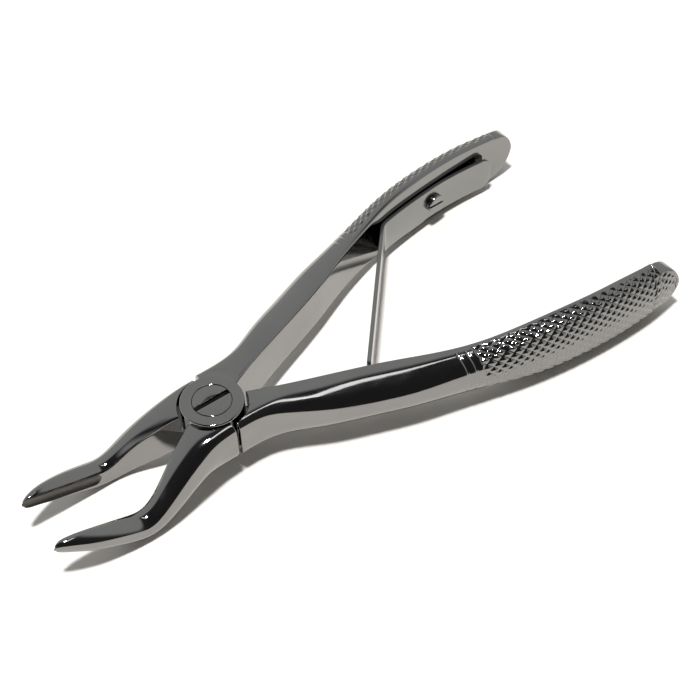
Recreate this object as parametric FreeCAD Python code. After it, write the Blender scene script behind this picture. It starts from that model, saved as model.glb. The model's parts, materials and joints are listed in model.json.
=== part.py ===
import FreeCAD, Part
import math
import os

V = FreeCAD.Vector

# Spring-handle extraction forceps: two crossed halves on a lap joint with one slotted pivot screw,
# a leaf spring screwed inside one handle, bayonet beaks. Millimetres. The pivot axis is Z; the
# handles run to +X and the beaks to -X, and the rest pose is the open pose. Each piece is built
# about the joint's mid-plane and then lifted, so that the origin is on the joint's flat underside.

# Overall sizes
HANDLE_REACH = 88.0       # pivot axis to the end of a handle
BEAK_REACH = 35.6         # pivot axis to a beak tip
OPENING = 22.4            # mid-line to the inner face at a handle's end
SHANK_THICK = 7.4         # handle thickness, inner face to outer ridge, behind the joint
SHANK_WIDTH = 8.9         # handle width behind the joint, measured along the pivot axis
GRIP_WIDTH = 13.0         # widest part of a handle
END_WIDTH = 11.0          # width of the rounded end
END_TOP_R = 4.8           # upper corner radius of the end; the lower one takes the rest
BEAK_GAP = 5.2            # mid-line to a beak's inner face
BEAK_THICK = 4.3          # beak thickness at its bend
BEND_HEIGHT = 5.36        # beak height at its bend
BEND_DROP = 7.0           # how far the beak's centre lies below the mid-plane at its bend

# Lap joint
JOINT_T = 8.4             # thickness of the joint across both laps
DISC_R = 5.7              # radius of each half's lap disc
BOSS_H = 0.8              # the upper disc stands this much above the lower half's shoulders
SHOULDER_CLEAR = 0.6      # radial clearance round each disc
ROOT_WALL = 1.0           # an arm's outer side stands this far outside the shoulder cut
ROOT_SQUARE = 2.2         # how upright an arm's side is at the joint, 0 for a rounded one
ROOT_LAP = 1.0            # an arm's root runs this far past the mid-line, into the disc
LAP_CLEAR = 0.06          # axial clearance between the two discs
STOP_GAP = 0.65           # space between a beak's and a handle's side faces at the joint
BEAK_FACE_X = 0.3         # a beak's side face at the joint

# Pivot screw
HEAD_R = 3.5
HEAD_H = 2.0
HEAD_CHAMFER = 0.15
SHANK_R = 2.3
THREAD_R = 2.0
SCREW_CLEAR = 0.06        # running clearance of head and shank in the upper half
SLOT_W = 0.9
SLOT_D = 1.1

# Leaf spring
STRIP_T = 0.8
STRIP_W = 7.4
STRIP_DROP = 1.0          # the strip's centre line lies this far below the mid-plane
STRIP_END_GAP = 6.9       # the strip's rear end to the end of the handle
STRIP_SEAT_L = 29.7       # rear end of the strip to its bend
STRIP_SCREW_BACK = 15.2   # rear end of the strip to its screw
STRIP_CORNER_R = 2.4      # rounding of the strip's rear corners
REAR_LIFT = 0.8           # the rear end stands off the handle by this much
SEAT_CLEAR = 0.03         # seam between the strip and the handle
BLADE_DIR = -131.2        # direction of the free blade in the plan, degrees from +X
TIP_CLEAR = 1.5           # blade tip to the other handle's inner face, along the blade
HINGE_GAP = 0.12          # seam between the bend and the blade

# Spring screw
SPRING_HEAD_R = 2.0
SPRING_HEAD_H = 1.0
SPRING_HEAD_ROUND = 0.3
SPRING_SLOT_W = 0.5
SPRING_SLOT_D = 0.5
SPRING_SHANK_R = 1.0
SPRING_SHANK_L = 3.2      # depth of its thread in the handle
HEAD_SEAT = 0.08          # the small head rides on the strip's slight bow

# Spoon hollow along the inside of a beak
HOLLOW_R = 1.9
HOLLOW_DEPTH = 0.5
HOLLOW_START = 22.0       # pivot axis to the centre of the hollow's round rear end

SHOULDER_R = DISC_R + SHOULDER_CLEAR
ROOT_OUT = SHOULDER_R + ROOT_WALL
HANDLE_FACE_X = BEAK_FACE_X + STOP_GAP
HALF_T = JOINT_T / 2
TOP_Z = HALF_T + BOSS_H
STRIP_REAR_X = HANDLE_REACH - STRIP_END_GAP
STRIP_SCREW_X = STRIP_REAR_X - STRIP_SCREW_BACK
STRIP_BEND_X = STRIP_REAR_X - STRIP_SEAT_L
FAR = 2 * HANDLE_REACH    # reaches past every piece

# Handle sections: share of the reach, inner face as a share of OPENING, thickness as a share of
# SHANK_THICK, how far the width has grown from the shank (0) to the grip (1), and how much of the
# joint's height the top still has.
HANDLE = (
    (0.115, 0.126, 0.875, 0.00, 1.00),
    (0.178, 0.231, 0.970, 0.00, 0.48),
    (0.265, 0.365, 1.018, 0.00, 0.00),
    (0.350, 0.499, 0.997, 0.00, 0.00),
    (0.436, 0.652, 0.830, 0.05, 0.00),
    (0.522, 0.781, 0.742, 0.25, 0.00),
    (0.607, 0.877, 0.711, 0.75, 0.00),
    (0.694, 0.937, 0.708, 0.98, 0.00),
    (0.779, 0.977, 0.687, 1.00, 0.00),
    (0.866, 0.995, 0.669, 0.88, 0.00),
    (0.940, 1.000, 0.611, 0.62, 0.00),
    (1.000, 1.002, 0.500, 0.50, 0.00),
)

# Beak sections: share of the reach, inner face as a share of BEAK_GAP, thickness as a share of
# BEAK_THICK, drop as a share of BEND_DROP, height as a share of BEND_HEIGHT, the inner face's
# share of the height, and how square the section still is.
BEAK = (
    (0.180, 0.250, 1.605, 0.114, 1.630, 0.95, 0.90),
    (0.281, 0.519, 1.419, 0.349, 1.614, 0.90, 0.45),
    (0.393, 0.827, 1.186, 0.664, 1.456, 0.80, 0.01),
    (0.478, 0.981, 1.047, 0.906, 1.175, 0.70, 0.00),
    (0.545, 1.019, 1.000, 1.000, 1.000, 0.62, 0.00),
    (0.618, 1.010, 0.988, 0.926, 0.981, 0.58, 0.00),
    (0.730, 1.000, 0.907, 0.718, 0.929, 0.56, 0.00),
    (0.843, 0.981, 0.744, 0.517, 0.825, 0.56, 0.00),
    (0.930, 0.971, 0.500, 0.376, 0.631, 0.58, 0.00),
    (0.980, 0.981, 0.279, 0.342, 0.403, 0.62, 0.00),
    (1.000, 1.000, 0.140, 0.336, 0.211, 0.66, 0.00),
)


def section(x, y_in, y_out, z_top, z_bot, face, dish, square):
    """Closed D outline in the plane at x: a slightly hollow inner face and a full outer curve."""
    mid = (z_top + z_bot) / 2
    h = (z_top - z_bot) / 2
    t = y_out - y_in
    shoulder = 1.1 + 0.85 * (1 - face)
    cheek = 0.9 + 0.55 * (1 - face) + 0.1 * square
    rise = 0.62 * face ** 2 + 0.5 * square
    top = V(x, y_in, mid + face * h)
    low = V(x, y_in, mid - face * h)
    outer = Part.BezierCurve()
    outer.setPoles([
        top,
        V(x, y_in + rise * t, mid + shoulder * h),
        V(x, y_in + (1.6 - rise / 2) * t, mid + cheek * h),
        V(x, y_in + (1.6 - rise / 2) * t, mid - cheek * h),
        V(x, y_in + rise * t, mid - shoulder * h),
        low,
    ])
    inner = Part.Arc(low, V(x, y_in + dish, mid), top)
    return Part.Wire([outer.toShape(), inner.toShape()])


def end_outline():
    """Face in the XZ plane that a handle's rounded end is trimmed to."""
    half = END_WIDTH / 2
    low_r = END_WIDTH - END_TOP_R
    wide = GRIP_WIDTH
    top_x = HANDLE_REACH - END_TOP_R
    low_x = HANDLE_REACH - low_r
    tip = V(HANDLE_REACH, 0, half - END_TOP_R)
    slant = math.sqrt(0.5)
    top_mid = V(top_x + slant * END_TOP_R, 0, half - END_TOP_R + slant * END_TOP_R)
    low_mid = V(low_x + slant * low_r, 0, -half + low_r - slant * low_r)
    flare_top = V(top_x - 2 * END_TOP_R, 0, wide)
    flare_low = V(low_x - 2 * END_TOP_R, 0, -wide)
    arcs = [Part.Arc(V(top_x, 0, half), top_mid, tip).toShape(),
            Part.Arc(tip, low_mid, V(low_x, 0, -half)).toShape()]
    rest = Part.makePolygon([V(low_x, 0, -half), flare_low, V(-wide, 0, -wide),
                             V(-wide, 0, wide), flare_top, V(top_x, 0, half)])
    return Part.Face(Part.Wire(arcs + rest.Edges))


def handle_arm(root_top):
    """One handle on the +Y side, from its side face at the joint to its rounded end."""
    dish_min = 0.02
    rows = [
        (HANDLE_FACE_X, -ROOT_LAP, ROOT_OUT, root_top, -HALF_T, dish_min, ROOT_SQUARE),
        (0.9 * SHOULDER_R, 0.14 * SHOULDER_R, ROOT_OUT + 0.06 * DISC_R, root_top, -HALF_T,
         dish_min, 0.85 * ROOT_SQUARE),
    ]
    for share, inner, thick, grow, lift in HANDLE:
        half_w = (SHANK_WIDTH + grow * (GRIP_WIDTH - SHANK_WIDTH)) / 2
        y_in = inner * OPENING
        rows.append((share * HANDLE_REACH, y_in, y_in + thick * SHANK_THICK,
                     half_w + lift * (root_top - half_w), -half_w,
                     max(0.2 * grow, dish_min), 0.4 * ROOT_SQUARE * lift))
    arm = Part.makeLoft([section(x, a, b, zt, zb, 1.0, dish, square)
                         for x, a, b, zt, zb, dish, square in rows], True)
    keep = end_outline().extrude(V(0, FAR, 0))
    return arm.common(keep.translated(V(0, -FAR / 2, 0)))


def beak_arm():
    """One beak on the +Y side, from its side face at the joint to its tip."""
    wires = [section(BEAK_FACE_X, -ROOT_LAP, ROOT_OUT, HALF_T, -HALF_T, 1.0, 0.02, ROOT_SQUARE),
             section(-0.5 * SHOULDER_R, -0.3 * ROOT_LAP, ROOT_OUT + 0.06 * DISC_R,
                     0.97 * HALF_T, -1.04 * HALF_T, 1.0, 0.02, 0.8 * ROOT_SQUARE)]
    for share, inner, thick, drop, height, face, square in BEAK:
        y_in = inner * BEAK_GAP
        mid = -drop * BEND_DROP
        half_h = height * BEND_HEIGHT / 2
        wires.append(section(-share * BEAK_REACH, y_in, y_in + thick * BEAK_THICK,
                             mid + half_h, mid - half_h, face, 0.05, square))
    return Part.makeLoft(wires, True)


def spoon_hollow():
    """Round-bottomed trough along the inner face of the +Y beak, from behind the bend to the tip."""
    y = BEAK_GAP - HOLLOW_R + HOLLOW_DEPTH
    drops = [-r[3] * BEND_DROP for r in BEAK]
    bend = max(range(len(BEAK)), key=lambda i: BEAK[i][3])
    behind = BEAK[bend + 1]
    rise = (drops[-1] - drops[bend + 1]) / ((1 - behind[0]) * BEAK_REACH)
    first = V(-HOLLOW_START, y, drops[bend + 1] + rise * (HOLLOW_START - behind[0] * BEAK_REACH))
    run = V(-(BEAK_REACH + HOLLOW_R - HOLLOW_START), 0,
            rise * (BEAK_REACH + HOLLOW_R - HOLLOW_START))
    trough = Part.makeCylinder(HOLLOW_R, run.Length, first, run)
    return trough.fuse(Part.makeSphere(HOLLOW_R, first))


def screw_bores(body):
    """Counterbore and clearance hole of the upper half, and the hole of the spring's screw."""
    seat_z = TOP_Z - HEAD_H - SCREW_CLEAR
    body = body.cut(Part.makeCylinder(HEAD_R + SCREW_CLEAR, FAR, V(0, 0, seat_z)))
    body = body.cut(Part.makeCylinder(SHANK_R + SCREW_CLEAR, JOINT_T, V(0, 0, 0)))
    seat, out = strip_point(STRIP_SCREW_X)
    return body.cut(Part.makeCylinder(SPRING_SHANK_R, SPRING_SHANK_L + STRIP_T,
                                      seat + out * STRIP_T, -out))


def lap_half(is_upper):
    """One half: a handle, a lap disc and a beak on the other side of the mid-line."""
    handle = handle_arm(TOP_Z if is_upper else HALF_T)
    beak = beak_arm().cut(spoon_hollow())
    mirror = (V(0, 0, 0), V(0, 1, 0))
    gap = LAP_CLEAR / 2
    if is_upper:
        beak = beak.mirror(*mirror)
        disc = Part.makeCylinder(DISC_R, TOP_Z - gap, V(0, 0, gap))
        relief = Part.makeCylinder(SHOULDER_R, FAR, V(0, 0, gap - FAR))
    else:
        handle = handle.mirror(*mirror)
        disc = Part.makeCylinder(DISC_R, HALF_T - gap, V(0, 0, -HALF_T))
        relief = Part.makeCylinder(SHOULDER_R, FAR, V(0, 0, -gap))
    body = handle.cut(relief).fuse(beak.cut(relief)).fuse(disc)
    if is_upper:
        body = screw_bores(body)
    else:
        body = body.cut(Part.makeCylinder(THREAD_R, FAR, V(0, 0, -FAR / 2)))
    return body.removeSplitter()


def inner_face():
    """Plan curve of a +Y handle's inner face, along its sections."""
    curve = Part.BSplineCurve()
    curve.interpolate([V(r[0] * HANDLE_REACH, r[1] * OPENING, 0) for r in HANDLE])
    return curve.toShape()


def inner_offset(x):
    """Inner face's distance from the mid-line at x."""
    cross = Part.makeLine(V(x, 0, 0), V(x, 2 * OPENING, 0))
    return inner_face().distToShape(cross)[1][0][0].y


def strip_point(x):
    """Point on the strip's back against the handle, and the direction away from the handle."""
    step = 0.9
    rise = (inner_offset(x + step) - inner_offset(x - step)) / (2 * step)
    out = V(rise, -1, 0)
    out.normalize()
    return V(x, inner_offset(x), -STRIP_DROP) + out * SEAT_CLEAR, out


def bend_axis():
    """Axis of the strip's bend, in the middle of its thickness."""
    back, out = strip_point(STRIP_BEND_X)
    return back + out * (STRIP_T / 2)


def blade_length():
    """Bend to blade tip: the run to the lower half's handle, less the tip's clearance."""
    start = bend_axis()
    aim = V(math.cos(math.radians(BLADE_DIR)), math.sin(math.radians(BLADE_DIR)), 0)
    flat = V(start.x, start.y, 0)
    ray = Part.makeLine(flat, flat + aim * FAR)
    near = inner_face().mirror(V(0, 0, 0), V(0, 1, 0))
    hit = near.distToShape(ray)[1][0][1]
    return (hit - flat).Length - TIP_CLEAR


def pivot_screw():
    """Slotted screw: head flush in the upper disc, shank through it, thread in the lower half."""
    head = Part.makeCylinder(HEAD_R, HEAD_H, V(0, 0, TOP_Z - HEAD_H))
    shank = Part.makeCylinder(SHANK_R, TOP_Z - HEAD_H - LAP_CLEAR / 2, V(0, 0, LAP_CLEAR / 2))
    thread = Part.makeCylinder(THREAD_R, HALF_T + LAP_CLEAR / 2, V(0, 0, -HALF_T))
    slot = Part.makeBox(4 * HEAD_R, SLOT_W, 2 * SLOT_D,
                        V(-2 * HEAD_R, -SLOT_W / 2, TOP_Z - SLOT_D))
    edge = [e for e in head.Edges if abs(e.BoundBox.ZMin - TOP_Z) < 1e-6]
    head = head.makeChamfer(HEAD_CHAMFER, edge)
    return head.fuse(shank).fuse(thread).cut(slot).removeSplitter()


def leaf_spring():
    """Clamped part of the strip, along the upper half's handle, with the round of its bend."""
    places = [STRIP_BEND_X, (STRIP_BEND_X + STRIP_SCREW_X) / 2, STRIP_SCREW_X,
              (STRIP_SCREW_X + STRIP_REAR_X) / 2, STRIP_REAR_X]
    lifts = [0.0, 0.0, 0.0, 0.3 * REAR_LIFT, REAR_LIFT]
    back = []
    front = []
    for x, lift in zip(places, lifts):
        point, out = strip_point(x)
        point = point + out * lift
        back.append(point)
        front.append(point + out * STRIP_T)
    edges = []
    for line in (back, front):
        curve = Part.BSplineCurve()
        curve.interpolate(line)
        edges.append(curve.toShape())
    edges.append(Part.makeLine(back[0], front[0]))
    edges.append(Part.makeLine(back[-1], front[-1]))
    wire = Part.Wire(Part.__sortEdges__(edges))
    strip = Part.Face(wire).extrude(V(0, 0, STRIP_W))
    strip.translate(V(0, 0, -STRIP_W / 2))
    corners = [e for e in strip.Edges
               if e.BoundBox.ZLength < 1e-6 and e.Length < 1.1 * STRIP_T
               and e.CenterOfMass.x > STRIP_SCREW_X]
    strip = strip.makeFillet(STRIP_CORNER_R, corners)
    strip = strip.fuse(Part.makeCylinder(STRIP_T / 2, STRIP_W,
                                         bend_axis() - V(0, 0, STRIP_W / 2)))
    seat, out = strip_point(STRIP_SCREW_X)
    hole = Part.makeCylinder(SPRING_SHANK_R, 4 * STRIP_T, seat - out * STRIP_T, out)
    return strip.cut(hole).removeSplitter()


def leaf_spring_blade():
    """Free part of the strip, from the bend to the rounded tip near the other handle."""
    start = STRIP_T / 2 + HINGE_GAP
    length = blade_length()
    blade = Part.makeBox(length - start - STRIP_T / 2, STRIP_T, STRIP_W,
                         V(start, -STRIP_T / 2, -STRIP_W / 2))
    tip = Part.makeCylinder(STRIP_T / 2, STRIP_W, V(length - STRIP_T / 2, 0, -STRIP_W / 2))
    blade = blade.fuse(tip).removeSplitter()
    blade.rotate(V(0, 0, 0), V(0, 0, 1), BLADE_DIR)
    blade.translate(bend_axis())
    return blade


def spring_screw():
    """Small slotted cheese-head screw through the strip into the handle."""
    length = SPRING_SHANK_L + STRIP_T
    shank = Part.makeCylinder(SPRING_SHANK_R, length, V(0, 0, -length))
    head = Part.makeCylinder(SPRING_HEAD_R, SPRING_HEAD_H)
    edge = [e for e in head.Edges if abs(e.BoundBox.ZMin - SPRING_HEAD_H) < 1e-6]
    head = head.makeFillet(SPRING_HEAD_ROUND, edge)
    slot = Part.makeBox(4 * SPRING_HEAD_R, SPRING_SLOT_W, SPRING_HEAD_H,
                        V(-2 * SPRING_HEAD_R, -SPRING_SLOT_W / 2, SPRING_HEAD_H - SPRING_SLOT_D))
    screw = head.fuse(shank).cut(slot).removeSplitter()
    seat, out = strip_point(STRIP_SCREW_X)
    screw.Placement = FreeCAD.Placement(seat + out * (STRIP_T + HEAD_SEAT),
                                        FreeCAD.Rotation(V(0, 0, 1), out))
    return screw


PARTS = {
    "upper_half": lap_half(True),
    "lower_half": lap_half(False),
    "pivot_screw": pivot_screw(),
    "leaf_spring": leaf_spring(),
    "leaf_spring_blade": leaf_spring_blade(),
    "spring_screw": spring_screw(),
}

os.makedirs("parts", exist_ok=True)
for name, shape in PARTS.items():
    shape.translate(V(0, 0, HALF_T))
    shape.exportStep("parts/" + name + ".step")
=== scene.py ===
import json
import math

import bmesh
import bpy
import numpy as np
from mathutils import Matrix, Vector


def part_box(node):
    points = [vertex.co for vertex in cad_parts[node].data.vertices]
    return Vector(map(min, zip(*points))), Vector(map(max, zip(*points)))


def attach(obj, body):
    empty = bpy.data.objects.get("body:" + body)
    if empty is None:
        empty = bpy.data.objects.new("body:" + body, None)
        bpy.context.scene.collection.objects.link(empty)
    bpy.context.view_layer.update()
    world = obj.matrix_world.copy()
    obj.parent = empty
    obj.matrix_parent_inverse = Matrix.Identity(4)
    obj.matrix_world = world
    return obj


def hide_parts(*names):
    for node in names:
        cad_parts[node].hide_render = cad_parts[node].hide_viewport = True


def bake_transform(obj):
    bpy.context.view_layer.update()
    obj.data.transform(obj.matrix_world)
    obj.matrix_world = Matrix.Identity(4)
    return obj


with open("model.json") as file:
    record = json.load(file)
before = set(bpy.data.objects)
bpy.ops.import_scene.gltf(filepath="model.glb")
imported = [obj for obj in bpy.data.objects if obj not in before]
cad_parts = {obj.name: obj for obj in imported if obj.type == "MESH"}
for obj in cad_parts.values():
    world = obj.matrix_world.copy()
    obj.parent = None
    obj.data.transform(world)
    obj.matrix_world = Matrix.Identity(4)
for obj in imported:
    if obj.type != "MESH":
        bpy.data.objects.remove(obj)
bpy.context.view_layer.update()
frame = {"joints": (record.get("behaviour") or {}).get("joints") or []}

MM = 0.001
JOINTS = {j["name"]: j for j in frame["joints"]}
PIVOT_Z = JOINTS["pivot"]["pos_m"][2] / MM    # the joint's mid-plane above its underside
BEND = Vector(JOINTS["spring_bend"]["pos_m"]) / MM

# Sizes of the halves, in millimetres, about the pivot axis at the joint's mid-plane.
HALF_T = PIVOT_Z
HANDLE_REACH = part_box("lower_half")[1].x / MM
BEAK_REACH = -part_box("lower_half")[0].x / MM
OPENING = 22.4            # mid-line to a handle's inner face at its rear end
SHANK_THICK = 7.4
SHANK_WIDTH = 8.9
GRIP_WIDTH = 13.0
END_WIDTH = 11.0          # width of a handle just before its rounded end
END_TOP_R = 4.8           # upper corner of the rounded end
BEAK_GAP = 5.2            # mid-line to a beak's inner face
BEAK_THICK = 4.3
BEND_HEIGHT = 5.36        # height of a beak at its bend
BEND_DROP = 7.0           # how far the beak's centre lies below the mid-plane at its bend

# Lap joint
DISC_R = 5.7
BOSS_H = 0.8              # the upper disc stands this much above the lower half's shoulders
SHOULDER_R = 6.3          # cut round each disc
ROOT_OUT = 7.3            # outer side of an arm at the joint
ROOT_SQUARE = 2.2         # how upright an arm's side is at the joint
ROOT_LAP = 1.0            # an arm's root runs this far past the mid-line
LAP_GAP = 0.03            # half the clearance between the discs
HANDLE_FACE = 0.95        # side face of a handle at the joint
BEAK_FACE = 0.3           # side face of a beak at the joint
TOP_Z = HALF_T + BOSS_H
RIM_R = 0.3               # rounding of the disc's upper rim
MOUTH_R = 0.14            # broken edge of the screw's counterbore
DISH = 0.02               # bow of a flat inner face
FAR = 40                  # past the end of any part

# Pivot screw
HEAD_R = 3.5
HEAD_H = 2.0
HEAD_EDGE_R = 0.12
SHANK_R = 2.3
THREAD_R = 2.0
SLOT_W = 0.9
SLOT_D = 1.1
SCREW_CLEAR = 0.06

# Spoon hollow along the inside of a beak
HOLLOW_R = 1.9
HOLLOW_DEPTH = 0.5
HOLLOW_START = 22.0
HOLLOW_RAISE = 0.35       # the hollow's axis above the beak's middle

# Leaf spring and its screw
STRIP_T = 0.8
STRIP_W = 7.4
STRIP_DROP = 1.0          # the strip's centre line lies this far below the mid-plane
STRIP_REAR = HANDLE_REACH - 6.9
STRIP_SCREW = 65.9
STRIP_CORNER_R = 2.4      # rear corners
STRIP_TIP_R = 0.5         # corners of the blade's tip
STRIP_EDGE_R = 0.16
REAR_LIFT = 0.8           # the rear end stands off the handle by this much
SEAT_CLEAR = 0.03
SPRING_HEAD_R = 2.0
SPRING_HEAD_H = 1.0
SPRING_HEAD_ROUND = 0.3
SPRING_HEAD_SEAT = 0.08
SPRING_SLOT_W = 0.5
SPRING_SLOT_D = 0.5
SPRING_SHANK_R = 1.0
SPRING_SHANK_L = 4.0

# Diamond knurl and the turned lines in front of it, on the grips' outer side
KNURL_START = 43.4
KNURL_PITCH = 1.3
KNURL_ANGLE = 38.0        # of the grooves to the handle, degrees
KNURL_FILL = 0.86         # a groove's share of the pitch
KNURL_DEPTH = 0.34
KNURL_SPAN = 0.95         # share of the section's outer side that is knurled
KNURL_STEP = 0.16         # spacing of the mesh rings under the knurl
BAND_LINES = (40.7, 42.3)
BAND_DEPTH = 0.16
BAND_W = 0.16
BAND_SPAN = 0.86
SIDE_FADE = 0.8           # the pattern runs out over this much of the section
KNURL_FADE_IN = 0.5
KNURL_FADE_OUT = 0.4
KNURL_END_GAP = 0.1
INWARD_X = 0.5            # share of the normal's lengthwise part that the knurl is sunk along

# Handle sections: share of the reach, inner face as a share of OPENING, thickness as a share of
# SHANK_THICK, share of the width's growth to the grip, share of the root's lift to the joint.
HANDLE = (
    (0.115, 0.126, 0.875, 0.00, 1.00),
    (0.178, 0.231, 0.970, 0.00, 0.48),
    (0.265, 0.365, 1.018, 0.00, 0.00),
    (0.350, 0.499, 0.997, 0.00, 0.00),
    (0.436, 0.652, 0.830, 0.05, 0.00),
    (0.522, 0.781, 0.742, 0.25, 0.00),
    (0.607, 0.877, 0.711, 0.75, 0.00),
    (0.694, 0.937, 0.708, 0.98, 0.00),
    (0.779, 0.977, 0.687, 1.00, 0.00),
    (0.866, 0.995, 0.669, 0.88, 0.00),
    (0.940, 1.000, 0.611, 0.62, 0.00),
    (1.000, 1.002, 0.500, 0.50, 0.00),
)

# Beak sections: share of the reach, inner face as a share of BEAK_GAP, thickness as a share of
# BEAK_THICK, drop as a share of BEND_DROP, height as a share of BEND_HEIGHT, the inner face's
# share of the height, and how square the section still is.
BEAK = (
    (0.180, 0.250, 1.605, 0.114, 1.630, 0.95, 0.90),
    (0.281, 0.519, 1.419, 0.349, 1.614, 0.90, 0.45),
    (0.393, 0.827, 1.186, 0.664, 1.456, 0.80, 0.01),
    (0.478, 0.981, 1.047, 0.906, 1.175, 0.70, 0.00),
    (0.545, 1.019, 1.000, 1.000, 1.000, 0.62, 0.00),
    (0.618, 1.010, 0.988, 0.926, 0.981, 0.58, 0.00),
    (0.730, 1.000, 0.907, 0.718, 0.929, 0.56, 0.00),
    (0.843, 0.981, 0.744, 0.517, 0.825, 0.56, 0.00),
    (0.930, 0.971, 0.500, 0.376, 0.631, 0.58, 0.00),
    (0.980, 0.981, 0.279, 0.342, 0.403, 0.62, 0.00),
    (1.000, 1.000, 0.140, 0.336, 0.211, 0.66, 0.00),
)

# Mesh density of a section, and the rounding of its edges
N_OUT, N_IN, N_CORNER = 128, 28, 7
EDGE_R = 0.5
CAP_R = 0.22              # rounding of the side faces at the joint
TIP_CAP_R = 0.28          # rounding of a beak's tip
CAP_STEPS = 5
CAP_SHRINK = 1.4
MERGE = 2e-6              # metres
TINY = 1e-6
KEEP_SMOOTH_X = 10        # handle edges past this are never sharp
SHARP_HALF, SHARP_SCREW, SHARP_STRIP = 34, 30, 40    # edges sharper than this stay sharp, degrees


# ---------------------------------------------------------------- meshes
def new_object(name, verts, faces):
    mesh = bpy.data.meshes.new(name)
    mesh.from_pydata([tuple(v) for v in verts], [], faces)
    obj = bpy.data.objects.new(name, mesh)
    bpy.context.scene.collection.objects.link(obj)
    return obj


def to_row(points):
    """Mid-plane millimetres to the row frame in metres."""
    p = np.asarray(points, float).copy()
    p[:, 2] += PIVOT_Z
    return p * MM


def outward(obj, merge):
    """Merges doubled points and turns the faces outward."""
    bm = bmesh.new()
    bm.from_mesh(obj.data)
    bmesh.ops.remove_doubles(bm, verts=bm.verts, dist=merge)
    bmesh.ops.dissolve_degenerate(bm, edges=bm.edges, dist=merge / 2)
    bmesh.ops.recalc_face_normals(bm, faces=bm.faces)
    bm.to_mesh(obj.data)
    bm.free()
    return obj


def tube(name, rings, merge=MERGE):
    """Closed skin through rings of points, each ring the same number of points, ends capped."""
    rings = np.asarray(rings, float)
    rows, cols, _ = rings.shape
    verts = rings.reshape(-1, 3)
    faces = []
    for i in range(rows - 1):
        for j in range(cols):
            k = (j + 1) % cols
            faces.append((i * cols + j, i * cols + k, (i + 1) * cols + k, (i + 1) * cols + j))
    ends = [verts[:cols].mean(0), verts[-cols:].mean(0)]
    verts = np.vstack([verts, ends])
    first, last = rows * cols, rows * cols + 1
    for j in range(cols):
        k = (j + 1) % cols
        faces.append((first, k, j))
        faces.append((last, (rows - 1) * cols + j, (rows - 1) * cols + k))
    return outward(new_object(name, to_row(verts), faces), merge)


def lathe(name, profile, count=160, place=None):
    """Solid of revolution about Z from (radius, height) points; the ends are closed."""
    a = np.linspace(0, 2 * math.pi, count, endpoint=False)
    rings = np.array([np.stack([r * np.cos(a), r * np.sin(a), np.full(count, float(z))], 1)
                      for r, z in profile])
    if place is not None:
        turn = np.array(place.to_3x3())
        rings = rings @ turn.T + np.array(place.translation)
    return tube(name, rings)


def arc(cr, cz, radius, start, end, steps):
    """Profile points of an arc about (cr, cz), angles in degrees from +R."""
    out = []
    for i in range(steps + 1):
        a = math.radians(start + (end - start) * i / steps)
        out.append((cr + radius * math.cos(a), cz + radius * math.sin(a)))
    return out


def boolean(target, cutter, operation):
    """Applies a boolean to target and removes the cutter."""
    mod = target.modifiers.new("cut", "BOOLEAN")
    mod.operation = operation
    mod.object = cutter
    mod.solver = "MANIFOLD"
    dg = bpy.context.evaluated_depsgraph_get()
    mesh = bpy.data.meshes.new_from_object(target.evaluated_get(dg))
    target.modifiers.clear()
    old = target.data
    target.data = mesh
    bpy.data.meshes.remove(old)
    bpy.data.objects.remove(cutter)
    return target


def mirrored(obj):
    obj.data.transform(Matrix.Diagonal((1, -1, 1, 1)))
    obj.data.flip_normals()
    return obj


def smooth(obj, angle):
    """Smooth shading, with edges sharper than the angle in degrees kept sharp."""
    obj.data.shade_smooth()
    obj.data.set_sharp_from_angle(angle=math.radians(angle))
    return obj


# ---------------------------------------------------------------- sections
def spline(knots, values, at):
    """Natural cubic spline through values (rows by columns) at the points asked for."""
    k = np.asarray(knots, float)
    v = np.asarray(values, float)
    n = len(k)
    h = np.diff(k)
    m = np.zeros((n, n))
    b = np.zeros_like(v)
    m[0, 0] = m[-1, -1] = 1
    for i in range(1, n - 1):
        m[i, i - 1], m[i, i], m[i, i + 1] = h[i - 1], 2 * (h[i - 1] + h[i]), h[i]
        b[i] = 6 * ((v[i + 1] - v[i]) / h[i] - (v[i] - v[i - 1]) / h[i - 1])
    c = np.linalg.solve(m, b)
    at = np.asarray(at, float)
    i = np.clip(np.searchsorted(k, at) - 1, 0, n - 2)
    w = h[i][:, None]
    s = (at - k[i])[:, None]
    r = (k[i + 1] - at)[:, None]
    return ((c[i] * r ** 3 + c[i + 1] * s ** 3) / (6 * w)
            + (v[i] / w - c[i] * w / 6) * r + (v[i + 1] / w - c[i + 1] * w / 6) * s)


def section_poles(y_in, y_out, z_top, z_bot, face, dish, square):
    """Bezier poles (y, z) of a section's outer side, top to bottom, then the inner face's bow."""
    mid = (z_top + z_bot) / 2
    h = (z_top - z_bot) / 2
    t = y_out - y_in
    shoulder = 1.1 + 0.85 * (1 - face)
    cheek = 0.9 + 0.55 * (1 - face) + 0.1 * square
    rise = 0.62 * face ** 2 + 0.5 * square
    y2 = y_in + (1.6 - rise / 2) * t
    return [y_in, mid + face * h, y_in + rise * t, mid + shoulder * h, y2, mid + cheek * h,
            y2, mid - cheek * h, y_in + rise * t, mid - shoulder * h, y_in, mid - face * h,
            dish]


BINOMIAL = (1, 5, 10, 10, 5, 1)
FINE = np.linspace(0, 1, 201)


def outer_curve(poles):
    """Degree-5 Bezier curve of (6, 2) poles."""
    out = 0
    for i, c in enumerate(BINOMIAL):
        out = out + c * (FINE ** i * (1 - FINE) ** (5 - i))[:, None] * poles[i]
    return out


def measure(line):
    """Distance along a polyline at each of its points."""
    return np.r_[0, np.cumsum(np.linalg.norm(np.diff(line, axis=0), axis=1))]


def resampled(line, at):
    """Points of a plane polyline at the given distances along it."""
    d = measure(line)
    return np.stack([np.interp(at, d, line[:, 0]), np.interp(at, d, line[:, 1])], 1)


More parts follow.
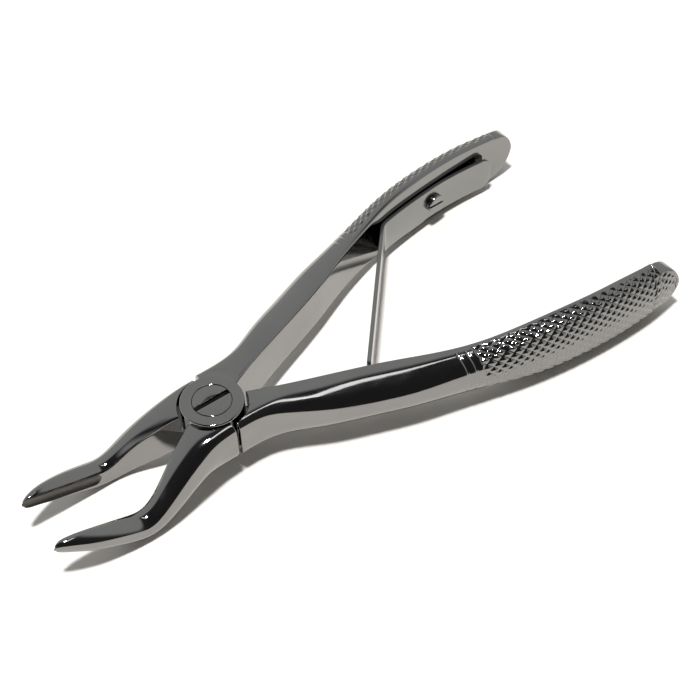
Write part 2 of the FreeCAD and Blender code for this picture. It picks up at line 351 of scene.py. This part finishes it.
def trimmed(line, cut_a, cut_b, count):
    """The polyline without a length cut_a at its start and cut_b at its end, resampled."""
    return resampled(line, np.linspace(cut_a, measure(line)[-1] - cut_b, count))


def rounded(a, tip, b, steps):
    """Points of a rounded corner between a and b, which lie either side of the tip."""
    t = np.linspace(0, 1, steps + 2)[1:-1, None]
    return a * (1 - t) ** 2 + 2 * t * (1 - t) * tip + b * t ** 2


def within(line, low, high):
    """The part of a section curve with low <= z <= high, its ends exactly there."""
    z = line[:, 1]
    inside = np.nonzero((z <= high) & (z >= low))[0]
    a, b = inside[0], inside[-1]
    out = [line[a:b + 1]]
    if a > 0:
        edge = high if z[a - 1] > high else low
        t = (edge - z[a]) / (z[a - 1] - z[a])
        out.insert(0, (line[a] + (line[a - 1] - line[a]) * t)[None])
    if b < len(line) - 1:
        edge = high if z[b + 1] > high else low
        t = (edge - z[b]) / (z[b + 1] - z[b])
        out.append((line[b] + (line[b + 1] - line[b]) * t)[None])
    return np.vstack(out)


def wall_radius(radius, wall):
    return 0.9 * radius if wall < TINY else min(radius, 0.45 * wall)


def side_wall(start, corner_a, corner_b, end, radius):
    """Rounded corner, straight wall and rounded corner between two faces, N_CORNER points."""
    span = corner_b - corner_a
    length = np.linalg.norm(span)
    if length < TINY:
        return rounded(start, corner_a, end, N_CORNER)
    unit = span / length
    half = min(radius, length / 2)
    a = rounded(start, corner_a, corner_a + unit * half, 2)
    b = rounded(corner_b - unit * half, corner_b, end, 2)
    mid = np.array([corner_a + unit * half, (corner_a + corner_b) / 2, corner_b - unit * half])
    return np.vstack([a, mid, b])


def ring_points(p, limits=None):
    """One closed section: outer curve, low corner, inner face, top corner, as (y, z) points.

    With limits, the section is cut off at a lowest and a highest z, by flat walls."""
    outer = outer_curve(p[:12].reshape(6, 2))
    top, low = outer[0], outer[-1]
    bow = np.sin(FINE * math.pi)[:, None] * np.array([p[12], 0.0])
    inner = low + (top - low) * FINE[:, None] + bow
    radius = min(EDGE_R, 0.1 * measure(outer)[-1], 0.2 * measure(inner)[-1])
    if limits is not None:
        outer = within(outer, *limits)
        inner = within(inner, *limits)
    wall_low = np.linalg.norm(outer[-1] - inner[0])
    wall_top = np.linalg.norm(outer[0] - inner[-1])
    if wall_low < TINY and wall_top < TINY:
        out = trimmed(outer, radius, radius, N_OUT)
        ins = trimmed(inner, radius, radius, N_IN)
        return np.vstack([out, rounded(out[-1], low, ins[0], N_CORNER), ins,
                          rounded(ins[-1], top, out[0], N_CORNER)])
    radius = min(radius, 0.3 * measure(inner)[-1], 0.2 * measure(outer)[-1])
    r_low = wall_radius(radius, wall_low)
    r_top = wall_radius(radius, wall_top)
    out = trimmed(outer, r_top, r_low, N_OUT)
    ins = trimmed(inner, r_low, r_top, N_IN)
    return np.vstack([out, side_wall(out[-1], outer[-1], inner[0], ins[0], r_low),
                      ins, side_wall(ins[-1], inner[-1], outer[0], out[0], r_top)])


def end_limits(x):
    """Lowest and highest z of a handle at x, from its rounded end's outline."""
    low_r = END_WIDTH - END_TOP_R
    half = END_WIDTH / 2
    wide = 2 * GRIP_WIDTH
    top_x = HANDLE_REACH - END_TOP_R
    low_x = HANDLE_REACH - low_r
    high = half + (top_x - x) * (GRIP_WIDTH - half) / (2 * END_TOP_R)
    low = -half - (low_x - x) * (GRIP_WIDTH - half) / (2 * END_TOP_R)
    if x > top_x:
        high = half - END_TOP_R + math.sqrt(max(END_TOP_R ** 2 - (x - top_x) ** 2, 0))
    if x > low_x:
        low = -half + low_r - math.sqrt(max(low_r ** 2 - (x - low_x) ** 2, 0))
    return max(low, -wide), min(high, wide)


# ---------------------------------------------------------------- handles
def groove(g):
    """Depth of a groove, 0 to 1, at g, which is 0 at its bottom and 1 halfway to the next."""
    w = np.clip(1 - g / KNURL_FILL, 0, 1)
    return 1 - np.sqrt(1 - (w * 0.96) ** 2) * 0.35 - (1 - w) * 0.65


def knurl(x, ring):
    """Depth of the knurl and the turned lines at each outer point of a section at x."""
    d = measure(ring[:N_OUT])
    edge = d[-1] / 2
    t = d - edge
    b = math.radians(KNURL_ANGLE)
    u1 = (x * math.sin(b) + t * math.cos(b)) / KNURL_PITCH
    u2 = (x * math.sin(b) - t * math.cos(b)) / KNURL_PITCH
    g1 = np.abs(u1 - np.round(u1)) * 2
    g2 = np.abs(u2 - np.round(u2)) * 2
    depth = KNURL_DEPTH * np.maximum(groove(g1), groove(g2))
    fade = (np.clip((x - KNURL_START) / KNURL_FADE_IN, 0, 1)
            * np.clip((HANDLE_REACH - KNURL_END_GAP - x) / KNURL_FADE_OUT, 0, 1))
    margin = np.clip((edge * KNURL_SPAN - np.abs(t)) / SIDE_FADE, 0, 1)
    line = sum(BAND_DEPTH * np.exp(-((x - at) / BAND_W) ** 2) for at in BAND_LINES)
    line = line * np.clip((edge * BAND_SPAN - np.abs(t)) / SIDE_FADE, 0, 1)
    return depth * fade * margin + line


def handle_sections(root_top):
    """Places along a handle on the +Y side, and its section at each."""
    knots = [HANDLE_FACE, 0.9 * SHOULDER_R]
    rows = [section_poles(-ROOT_LAP, ROOT_OUT, root_top, -HALF_T, 1.0, DISH, ROOT_SQUARE),
            section_poles(0.14 * SHOULDER_R, ROOT_OUT + 0.06 * DISC_R, root_top, -HALF_T, 1.0,
                          DISH, 0.85 * ROOT_SQUARE)]
    for share, inner, thick, grow, lift in HANDLE:
        half_w = (SHANK_WIDTH + grow * (GRIP_WIDTH - SHANK_WIDTH)) / 2
        y_in = inner * OPENING
        knots.append(share * HANDLE_REACH)
        rows.append(section_poles(y_in, y_in + thick * SHANK_THICK,
                                  half_w + lift * (root_top - half_w), -half_w, 1.0,
                                  max(0.2 * grow, DISH), 0.4 * ROOT_SQUARE * lift))
    plain = np.linspace(HANDLE_FACE, BAND_LINES[0] - 0.9, 84)
    fine = np.arange(BAND_LINES[0] - 0.8, HANDLE_REACH - 1.0, KNURL_STEP)
    tail = HANDLE_REACH - 1.0 * (1 - np.sin(np.linspace(0, math.pi / 2, 16))) - 0.0005
    xs = np.r_[plain, fine, tail]
    poles = spline(knots, rows, xs)
    return xs, [ring_points(p, end_limits(x) if x > 0.75 * HANDLE_REACH else None)
                for x, p in zip(xs, poles)]


def round_cap(rings, at_start, radius):
    """Rounds the edge of the flat cap at one end of a stack of rings."""
    order = rings if at_start else rings[::-1]
    base = order[0]
    sign = math.copysign(1, base[:, 0].mean() - order[1][:, 0].mean())
    centre = base.mean(axis=0)
    shrink = CAP_SHRINK * radius / np.linalg.norm(base - centre, axis=1).max()
    extra = []
    for k in range(1, CAP_STEPS + 1):
        a = k / CAP_STEPS * math.pi / 2
        ring = centre + (base - centre) * (1 - shrink * (1 - math.cos(a)))
        ring[:, 0] = base[:, 0] - sign * radius * (1 - math.sin(a))
        extra.append(ring)
    start = base.copy()
    start[:, 0] -= sign * radius
    keep = [r for r in order if (r[:, 0].mean() - start[:, 0].mean()) * sign < -1e-3]
    out = np.array(extra[::-1] + [start] + keep)
    return out if at_start else out[::-1]


def handle_mesh(name, root_top):
    """One handle on the +Y side, with its knurl sunk into the outer face."""
    xs, sections = handle_sections(root_top)
    rings = np.array([np.column_stack([np.full(len(r), x), r]) for x, r in zip(xs, sections)])
    normals = np.cross(np.gradient(rings, axis=0), np.gradient(rings, axis=1))
    normals /= np.maximum(np.linalg.norm(normals, axis=2, keepdims=True), 1e-9)
    middle = rings.mean(axis=1, keepdims=True)
    normals *= np.sign(((rings - middle) * normals).sum(2, keepdims=True)
                       .mean(axis=1, keepdims=True))
    for i, x in enumerate(xs):
        if x > BAND_LINES[0] - 0.8:
            inward = normals[i, :N_OUT].copy()
            inward[:, 0] *= INWARD_X
            rings[i, :N_OUT] -= inward * knurl(x, sections[i])[:, None]
    return tube(name, round_cap(rings, True, CAP_R))


# ---------------------------------------------------------------- beaks
def beak_mesh(name):
    """One beak on the +Y side, from its side face at the joint to its tip."""
    knots = [-BEAK_FACE, 0.5 * SHOULDER_R]
    rows = [section_poles(-ROOT_LAP, ROOT_OUT, HALF_T, -HALF_T, 1.0, DISH, ROOT_SQUARE),
            section_poles(-0.3 * ROOT_LAP, ROOT_OUT + 0.06 * DISC_R, 0.97 * HALF_T,
                          -1.04 * HALF_T, 1.0, DISH, 0.8 * ROOT_SQUARE)]
    for share, inner, thick, drop, height, face, square in BEAK:
        y_in = inner * BEAK_GAP
        mid = -drop * BEND_DROP
        half_h = height * BEND_HEIGHT / 2
        knots.append(share * BEAK_REACH)
        rows.append(section_poles(y_in, y_in + thick * BEAK_THICK, mid + half_h, mid - half_h,
                                  face, 0.05, square))
    near = np.linspace(-BEAK_FACE, BEAK_REACH - 1.0, 120)
    tail = BEAK_REACH - 1.0 * (1 - np.sin(np.linspace(0, math.pi / 2, 12)))
    xs = np.r_[near, tail[1:]]
    rings = []
    for x, p in zip(xs, spline(knots, rows, xs)):
        r = ring_points(p)
        rings.append(np.column_stack([np.full(len(r), -x), r]))
    rings = round_cap(np.array(rings), True, CAP_R)
    return tube(name, round_cap(rings, False, TIP_CAP_R))


def capsule(name, start, end, radius):
    """Cylinder with round ends, between two points in mid-plane millimetres."""
    start, end = Vector(start), Vector(end)
    run = end - start
    turn = run.to_track_quat("Z", "Y").to_matrix().to_4x4()
    turn.translation = start
    profile = arc(0, 0, radius, -90, 0, 24)[:-1]
    profile += [(radius, z) for z in np.linspace(0, run.length, 40)]
    profile += arc(0, run.length, radius, 0, 90, 24)[1:]
    return lathe(name, profile, 96, turn)


def hollow_axis():
    """Ends of the spoon hollow's axis in a beak on the +Y side."""
    drops = [-r[3] * BEND_DROP for r in BEAK]
    bend = max(range(len(BEAK)), key=lambda i: BEAK[i][3])
    behind = BEAK[bend + 1]
    y = BEAK_GAP - HOLLOW_R + HOLLOW_DEPTH
    rise = (drops[-1] - drops[bend + 1]) / ((1 - behind[0]) * BEAK_REACH)
    z0 = drops[bend + 1] + rise * (HOLLOW_START - behind[0] * BEAK_REACH) + HOLLOW_RAISE
    length = BEAK_REACH + HOLLOW_R - HOLLOW_START
    return (-HOLLOW_START, y, z0), (-HOLLOW_START - length, y, z0 + rise * length)


def mark_hollow(obj, side):
    """Gives the faces cut by the spoon hollow the object's second material: matt steel darkened
    with painted shade.
    """
    a, b = (Vector((x, side * y, z + PIVOT_Z)) * MM for x, y, z in hollow_axis())
    run = (b - a).normalized()
    for face in obj.data.polygons:
        to = face.center - a
        along = to.dot(run)
        off = (to - run * max(along, 0)).length / MM
        beside = -HOLLOW_R * 1.05 * MM < along < (b - a).length
        face.material_index = int(beside and abs(off - HOLLOW_R) < 0.02)


# ---------------------------------------------------------------- halves
def upper_tools():
    """Profiles of the upper half's disc and of the cut that frees the lower half's disc."""
    disc = [(0.001, LAP_GAP), (DISC_R - 0.1, LAP_GAP), (DISC_R, LAP_GAP + 0.1)]
    disc += [(DISC_R, z) for z in np.linspace(LAP_GAP + 0.3, TOP_Z - RIM_R - 0.1, 8)]
    disc += arc(DISC_R - RIM_R, TOP_Z - RIM_R, RIM_R, 0, 90, 8)
    disc += [(r, TOP_Z) for r in (DISC_R - RIM_R - 0.2, HEAD_R + 0.5, 0.001)]
    relief = [(0.001, -FAR), (SHOULDER_R, -FAR)]
    relief += [(SHOULDER_R, z) for z in np.linspace(-HALF_T - 3, LAP_GAP, 12)]
    relief += [(0.001, LAP_GAP)]
    return disc, relief


def lower_tools():
    """Profiles of the lower half's disc and of the cut that frees the upper half's disc."""
    disc = [(0.001, -HALF_T), (DISC_R - 0.2, -HALF_T)]
    disc += arc(DISC_R - 0.2, -HALF_T + 0.2, 0.2, -90, 0, 5)[1:]
    disc += [(DISC_R, z) for z in np.linspace(-HALF_T + 0.4, -LAP_GAP - 0.3, 8)]
    disc += [(DISC_R - 0.1, -LAP_GAP), (0.001, -LAP_GAP)]
    relief = [(0.001, -LAP_GAP), (SHOULDER_R, -LAP_GAP)]
    relief += [(SHOULDER_R, z) for z in np.linspace(0.2, HALF_T - 0.35, 10)]
    relief += arc(SHOULDER_R + 0.25, HALF_T - 0.25, 0.25, 180, 100, 6)[1:]
    relief += [(SHOULDER_R + 0.4, HALF_T + 0.1), (SHOULDER_R + 0.6, FAR), (0.001, FAR)]
    return disc, relief


def skim_profile():
    """Cut that keeps the arm's top just under the upper disc's rim."""
    return [(0.001, TOP_Z - 0.04), (DISC_R + 1.2, TOP_Z - 0.04), (DISC_R + 4.5, TOP_Z + 1.0),
            (DISC_R + 4.5, TOP_Z + 9), (0.001, TOP_Z + 9)]


def bore_profile():
    """Hole for the pivot screw, with its counterbore and the counterbore's broken edge."""
    seat = TOP_Z - HEAD_H - SCREW_CLEAR
    hole_r = HEAD_R + SCREW_CLEAR
    bore = [(0.001, -FAR), (SHANK_R + SCREW_CLEAR, -FAR), (SHANK_R + SCREW_CLEAR, seat),
            (hole_r, seat), (hole_r, TOP_Z - 0.5), (hole_r, TOP_Z - MOUTH_R)]
    bore += arc(hole_r + MOUTH_R, TOP_Z - MOUTH_R, MOUTH_R, 180, 95, 5)[1:]
    bore += [(hole_r + 0.18, TOP_Z + 0.1), (hole_r + 0.18, FAR), (0.001, FAR)]
    return bore


def build_half(name, is_upper):
    """Upper half: handle on the +Y side, beak on the -Y side. Lower half: the reverse."""
    handle = handle_mesh(name, TOP_Z if is_upper else HALF_T)
    cutter = capsule("hollow", *hollow_axis(), HOLLOW_R)
    beak = boolean(beak_mesh(name + "_beak"), cutter, "DIFFERENCE")
    if is_upper:
        beak = mirrored(beak)
        handle = boolean(handle, lathe("skim", skim_profile()), "DIFFERENCE")
        disc, relief = upper_tools()
    else:
        handle = mirrored(handle)
        disc, relief = lower_tools()
    body = boolean(handle, lathe("relief", relief), "DIFFERENCE")
    beak = boolean(beak, lathe("relief", relief), "DIFFERENCE")
    body = boolean(body, beak, "UNION")
    body = boolean(body, lathe("disc", disc), "UNION")
    if is_upper:
        body = boolean(body, lathe("bore", bore_profile()), "DIFFERENCE")
    smooth(body, SHARP_HALF)
    soften_knurl(body)
    return body


def soften_knurl(obj):
    """Takes the sharp marks off the handle, so that the knurl's facets blend."""
    mesh = obj.data
    sharp = mesh.attributes.get("sharp_edge")
    if sharp is None:
        return
    co = np.zeros(len(mesh.vertices) * 3)
    mesh.vertices.foreach_get("co", co)
    ends = np.zeros(len(mesh.edges) * 2, int)
    mesh.edges.foreach_get("vertices", ends)
    mid_x = co.reshape(-1, 3)[ends.reshape(-1, 2), 0].mean(1) / MM
    flags = np.zeros(len(mesh.edges), bool)
    sharp.data.foreach_get("value", flags)
    flags &= mid_x <= KEEP_SMOOTH_X
    sharp.data.foreach_set("value", flags)


upper = build_half("upper_half_polished", True)
lower = build_half("lower_half_polished", False)


# ---------------------------------------------------------------- screws
def slotted_screw(name, head_r, head_h, top_r, shank, slot_w, slot_d, place):
    """Screw with a slotted flat head on z = 0, its shank given as (radius, height) points."""
    profile = [(0.001, shank[0][1])] + list(shank)
    profile += [(head_r - 0.05, 0.0), (head_r, 0.05), (head_r, head_h / 2)]
    profile += arc(head_r - top_r, head_h - top_r, top_r, 0, 90, 8)
    profile += [(head_r * 0.6, head_h), (0.001, head_h)]
    screw = lathe(name, profile)
    w, e = slot_w / 2, 0.07
    side = [(w, head_h - slot_d), (w, head_h - e), (w + e * 0.3, head_h - e * 0.3),
            (w + e, head_h), (w + e, head_h + 1)]
    outline = [(-w, head_h - slot_d)] + side + [(-y, z) for y, z in side[:0:-1]]
    rows = [[(x, y, z) for y, z in outline] for x in np.linspace(-3 * head_r, 3 * head_r, 3)]
    screw = boolean(screw, tube("slot", np.array(rows, float)), "DIFFERENCE")
    lift = Matrix.Translation((0, 0, PIVOT_Z * MM))
    move = place.copy()
    move.translation = move.translation * MM
    screw.data.transform(lift @ move @ lift.inverted())
    return smooth(screw, SHARP_SCREW)


HEAD_Z = TOP_Z - HEAD_H
pivot_screw = slotted_screw(
    "pivot_screw_head", HEAD_R, HEAD_H, HEAD_EDGE_R,
    [(THREAD_R, -HEAD_Z - HALF_T), (THREAD_R, -HEAD_Z), (SHANK_R, -HEAD_Z + 0.03),
     (SHANK_R, 0.0)], SLOT_W, SLOT_D, Matrix.Translation((0, 0, HEAD_Z)))


# ---------------------------------------------------------------- leaf spring
def inner_face_at(x):
    knots = [r[0] * HANDLE_REACH for r in HANDLE]
    values = [[r[1] * OPENING] for r in HANDLE]
    return spline(knots, values, [x])[0, 0]


def strip_point(x):
    """Point on the strip's back at x, and the direction from the handle to the strip."""
    step = 0.9
    rise = (inner_face_at(x + step) - inner_face_at(x - step)) / (2 * step)
    out = Vector((rise, -1, 0)).normalized()
    return Vector((x, inner_face_at(x), -STRIP_DROP)) + out * SEAT_CLEAR, out


BLADE_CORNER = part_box("leaf_spring_blade")[0] / MM


def strip_line():
    """Centre line of the whole strip, from its lifted rear end to the blade's tip."""
    points = []
    for x in np.linspace(STRIP_REAR, BEND.x, 60):
        back, out = strip_point(x)
        u = max(0.0, (x - STRIP_SCREW) / (STRIP_REAR - STRIP_SCREW))
        lift = REAR_LIFT * (0.25 * u + 0.75 * u * u) * min(1.0, u * 4) ** 2
        points.append(back + out * (STRIP_T / 2 + lift))
    bend = Vector((BEND.x, BEND.y, -STRIP_DROP))
    tip = Vector((BLADE_CORNER.x + STRIP_T / 2, BLADE_CORNER.y + STRIP_T / 2, -STRIP_DROP))
    for s in np.linspace(0.6, (tip - bend).length, 60):
        points.append(bend + (tip - bend).normalized() * s)
    return np.array([[p.x, p.y] for p in points])


def strip_profile():
    """Cross-section of the strip, with rounded edges."""
    half_t, half_w, r = STRIP_T / 2, STRIP_W / 2, STRIP_EDGE_R
    profile = []
    for cx, cz, start in ((half_t - r, half_w - r, 0), (-half_t + r, half_w - r, 90),
                          (-half_t + r, -half_w + r, 180), (half_t - r, -half_w + r, 270)):
        profile += arc(cx, cz, r, start, start + 90, 4)
    return np.array(profile)


def leaf_strip(name):
    """The strip in one piece, smooth through its bend, with rounded corners at both ends."""
    line = strip_line()
    total = measure(line)[-1]
    s = np.r_[np.linspace(0, 3, 50)[:-1], np.linspace(3, total, 240)]
    p = resampled(line, s)
    for _ in range(14):
        p[1:-1] = (p[:-2] + 2 * p[1:-1] + p[2:]) / 4
    tangent = np.gradient(p, axis=0)
    tangent /= np.linalg.norm(tangent, axis=1, keepdims=True)
    side = np.stack([-tangent[:, 1], tangent[:, 0]], 1)
    profile = strip_profile()
    rings = []
    for i in range(len(p)):
        to_end = min(s[i], total - s[i])
        corner = STRIP_CORNER_R if s[i] < total / 2 else STRIP_TIP_R
        thin = math.sqrt(max(0.0, 1 - (1 - min(to_end, 0.2) / 0.2) ** 2))
        narrow = corner - math.sqrt(max(0, corner ** 2 - max(corner - to_end, 0) ** 2))
        ring = np.zeros((len(profile), 3))
        ring[:, :2] = p[i] + side[i] * (profile[:, :1] * max(thin, 0.15))
        ring[:, 2] = profile[:, 1] * (1 - narrow / (STRIP_W / 2)) - STRIP_DROP
        rings.append(ring)
    return smooth(tube(name, np.array(rings), MERGE / 10), SHARP_STRIP)


strip = leaf_strip("leaf_spring_strip")
seat, seat_out = strip_point(STRIP_SCREW)
spring_turn = Vector((0, 0, 1)).rotation_difference(seat_out).to_matrix().to_4x4()
spring_turn.translation = seat + seat_out * (STRIP_T + SPRING_HEAD_SEAT)
spring_screw = slotted_screw(
    "spring_screw_head", SPRING_HEAD_R, SPRING_HEAD_H, SPRING_HEAD_ROUND,
    [(SPRING_SHANK_R, -SPRING_SHANK_L), (SPRING_SHANK_R, 0.0)], SPRING_SLOT_W, SPRING_SLOT_D,
    spring_turn)


# ---------------------------------------------------------------- materials
def steel(name, colour, rough, scratch, fleck):
    """Worked steel: smeared tone, uneven polish, fine flecks and scratches along the part."""
    mat = bpy.data.materials.new(name)
    mat.use_nodes = True
    tree = mat.node_tree
    nodes, links = tree.nodes, tree.links
    bsdf = nodes["Principled BSDF"]
    bsdf.inputs["Metallic"].default_value = 1.0
    coord = nodes.new("ShaderNodeTexCoord")

    def noise(scale, detail, stretch=(1, 1, 1)):
        mapping = nodes.new("ShaderNodeMapping")
        mapping.inputs["Scale"].default_value = stretch
        tex = nodes.new("ShaderNodeTexNoise")
        tex.inputs["Scale"].default_value = scale
        tex.inputs["Detail"].default_value = detail
        links.new(coord.outputs["Object"], mapping.inputs["Vector"])
        links.new(mapping.outputs["Vector"], tex.inputs["Vector"])
        return tex.outputs["Fac"]

    def ramp(fac, low_at, low, high_at, high):
        node = nodes.new("ShaderNodeValToRGB")
        for element, at, value in zip(node.color_ramp.elements, (low_at, high_at), (low, high)):
            element.position = at
            element.color = (*value, 1)
        links.new(fac, node.inputs["Fac"])
        return node.outputs["Color"]

    def bump(height, strength, distance, base=None):
        node = nodes.new("ShaderNodeBump")
        node.inputs["Strength"].default_value = strength
        node.inputs["Distance"].default_value = distance
        links.new(height, node.inputs["Height"])
        if base is not None:
            links.new(base, node.inputs["Normal"])
        return node.outputs["Normal"]

    tone = ramp(noise(90, 4), 0.3, [c * 0.9 for c in colour], 0.7, colour)
    links.new(tone, bsdf.inputs["Base Color"])
    polish = ramp(noise(140, 5), 0.3, [rough * 0.7] * 3, 0.75, [rough * 1.7] * 3)
    flecks = ramp(noise(700, 3, (0.12, 1, 1)), 0.45, [0] * 3, 0.75, [fleck] * 3)
    add = nodes.new("ShaderNodeMath")
    add.operation = "ADD"
    links.new(polish, add.inputs[0])
    links.new(flecks, add.inputs[1])
    links.new(add.outputs[0], bsdf.inputs["Roughness"])
    waves = bump(noise(160, 2), 0.05, 0.0003)
    links.new(bump(noise(900, 4, (0.08, 1, 1)), scratch, 0.00002, waves), bsdf.inputs["Normal"])
    return mat


polished = steel("polished_steel", (0.268, 0.268, 0.264), 0.06, 0.22, 0.03)
screw_steel = steel("screw_steel", (0.272, 0.272, 0.268), 0.10, 0.2, 0.04)
spring_steel = steel("spring_steel", (0.27, 0.275, 0.268), 0.14, 0.25, 0.05)
# Spoon hollow: matt, rougher steel, with its base colour darkened far below the polished steel's
# as painted shade in the recess
hollow_matt_with_painted_shade = steel("hollow_steel_painted_shade", (0.10, 0.095, 0.09), 0.28, 0.6, 0.05)


def dress(obj, mat, slot, body, *nodes):
    obj.data.materials.clear()
    obj.data.materials.append(mat)
    if body:
        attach(obj, body)
    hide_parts(*nodes)


dress(upper, polished, "polished_steel", "upper", "upper_half")
dress(lower, polished, "polished_steel", "lower", "lower_half")
# The beaks' hollows get the matt steel whose dark colour is painted shade
for half, hollow_side in ((upper, -1), (lower, 1)):
    half.data.materials.append(hollow_matt_with_painted_shade)
    mark_hollow(half, hollow_side)
dress(pivot_screw, screw_steel, "screw_steel", "lower", "pivot_screw")
dress(spring_screw, screw_steel, "screw_steel", "upper", "spring_screw")
dress(strip, spring_steel, "spring_steel", None, "leaf_spring", "leaf_spring_blade")

BLEND_HALF = 1.6          # distance past the strip's bend at which a point on the strip is taken; the point is not used further
before, _ = strip_point(BEND.x + BLEND_HALF)
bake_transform(strip)


# ---------------------------------------------------------------- floor
def floor_plane():
    """Tilt and height of the floor that the beaks' knees and the grips both touch."""
    points = []
    for obj in (upper, lower):
        co = np.zeros(len(obj.data.vertices) * 3)
        obj.data.vertices.foreach_get("co", co)
        points.append(co.reshape(-1, 3))
    points = np.vstack(points)
    front = points[points[:, 0] < 0]
    rear = points[points[:, 0] > 0.03]
    tries = []
    for angle in np.radians(np.linspace(0.5, 4, 141)):
        n = np.array([-math.sin(angle), 0, math.cos(angle)])
        a, b = (front @ n).min(), (rear @ n).min()
        tries.append((abs(a - b), angle, min(a, b)))
    return min(tries)[1:]


FLOOR_HALF = 2            # metres
FLOOR_GAP = 0.00005
corners = [(x * FLOOR_HALF, y * FLOOR_HALF, 0) for x, y in ((-1, -1), (1, -1), (1, 1), (-1, 1))]
floor = new_object("floor", corners, [(0, 1, 2, 3)])
tilt, height = floor_plane()
normal = Vector((-math.sin(tilt), 0, math.cos(tilt)))
floor.matrix_world = (Matrix.Translation(normal * (height - FLOOR_GAP))
                      @ normal.to_track_quat("Z", "Y").to_matrix().to_4x4())
white = bpy.data.materials.new("floor_white")
white.use_nodes = True
shader = white.node_tree.nodes["Principled BSDF"]
shader.inputs["Base Color"].default_value = (0.90, 0.86, 0.82, 1)
shader.inputs["Roughness"].default_value = 0.85
floor.data.materials.append(white)


# ---------------------------------------------------------------- room
world = bpy.data.worlds.new("studio")
bpy.context.scene.world = world
world.use_nodes = True
sky = world.node_tree
background = sky.nodes["Background"]
background.inputs["Strength"].default_value = 1.0
direction = sky.nodes.new("ShaderNodeTexCoord")
parts = sky.nodes.new("ShaderNodeSeparateXYZ")
sky.links.new(direction.outputs["Generated"], parts.inputs[0])


def sky_math(operation, a, b):
    node = sky.nodes.new("ShaderNodeMath")
    node.operation = operation
    for slot, value in zip(node.inputs, (a, b)):
        if isinstance(value, float):
            slot.default_value = value
        else:
            sky.links.new(value, slot)
    return node.outputs[0]


# Dark room in front of and to the left of the object, grey walls to the right and behind.
RIGHT_EDGE, BACK_EDGE, LEFT_EDGE = 0.44, 0.32, 0.86    # where each wall begins, as a cosine
right_wall = sky_math("SUBTRACT", parts.outputs["X"], RIGHT_EDGE)
back_wall = sky_math("SUBTRACT", parts.outputs["Y"], BACK_EDGE)
left_wall = sky_math("SUBTRACT", sky_math("MULTIPLY", parts.outputs["X"], -1.0), LEFT_EDGE)
walls = sky_math("MAXIMUM", sky_math("MAXIMUM", right_wall, back_wall), left_wall)
WALL_TONES = ((0.0, 0.035, 0.034, 0.036), (0.44, 0.05, 0.05, 0.052), (0.50, 0.20, 0.205, 0.205),
              (0.58, 0.55, 0.565, 0.56), (1.0, 0.60, 0.61, 0.595))
tones = sky.nodes.new("ShaderNodeValToRGB")
for _ in WALL_TONES[2:]:
    tones.color_ramp.elements.new(0.5)
for element, tone in zip(tones.color_ramp.elements, WALL_TONES):
    element.position = tone[0]
    element.color = (*tone[1:], 1)
sky.links.new(sky_math("ADD", walls, 0.5), tones.inputs["Fac"])
sky.links.new(tones.outputs["Color"], background.inputs["Color"])

LIGHT_TARGET = Vector((0.02, 0, 0))
LIGHT_AWAY = 0.8


def area(name, towards, size, size_y, power, along=None):
    """Area light seen from the object in a direction, its long side turned along another."""
    light = bpy.data.lights.new(name, "AREA")
    light.shape = "RECTANGLE"
    light.size, light.size_y = size, size_y
    light.energy = power
    obj = bpy.data.objects.new(name, light)
    bpy.context.scene.collection.objects.link(obj)
    z = Vector(towards).normalized()
    obj.location = LIGHT_TARGET + z * LIGHT_AWAY
    if along is None:
        obj.rotation_euler = (-z).to_track_quat("-Z", "Y").to_euler()
    else:
        y = Vector(along)
        y = (y - z * y.dot(z)).normalized()
        obj.rotation_euler = Matrix((y.cross(z), y, z)).transposed().to_euler()


KEY_DIR, KEY_SIZE, KEY_POWER = (-0.134, -0.092, 1), 0.08, 6.9
STREAK_DIR, STREAK_WIDE, STREAK_LONG, STREAK_POWER = (0.12, 0.0, 0.99), 0.07, 0.40, 0.24
STREAK_ALONG = (0.68, 0.73, 0)
area("key", KEY_DIR, KEY_SIZE, KEY_SIZE, KEY_POWER)
area("streak", STREAK_DIR, STREAK_WIDE, STREAK_LONG, STREAK_POWER, along=STREAK_ALONG)

# ---------------------------------------------------------------- camera
CAMERA_AT = (-0.06927, -0.14025, 0.19925)
AZIMUTH, ELEVATION, ROLL = math.radians(54.8), math.radians(49.0), math.radians(-1.6)
SENSOR, LENS = 36, 72.5
camera_data = bpy.data.cameras.new("camera")
camera = bpy.data.objects.new("camera", camera_data)
bpy.context.scene.collection.objects.link(camera)
bpy.context.scene.camera = camera
camera_data.sensor_width, camera_data.lens = SENSOR, LENS
camera_data.clip_start, camera_data.clip_end = 0.01, 10
forward = Vector((math.cos(AZIMUTH) * math.cos(ELEVATION),
                  math.sin(AZIMUTH) * math.cos(ELEVATION), -math.sin(ELEVATION)))
right = Vector((math.sin(AZIMUTH), -math.cos(AZIMUTH), 0))
up = right.cross(forward)
camera_x = math.cos(ROLL) * right + math.sin(ROLL) * up
camera_y = -math.sin(ROLL) * right + math.cos(ROLL) * up
camera.matrix_world = Matrix((camera_x, camera_y, -forward)).transposed().to_4x4()
camera.location = CAMERA_AT

bpy.context.scene.view_settings.view_transform = "Standard"
bpy.context.view_layer.update()
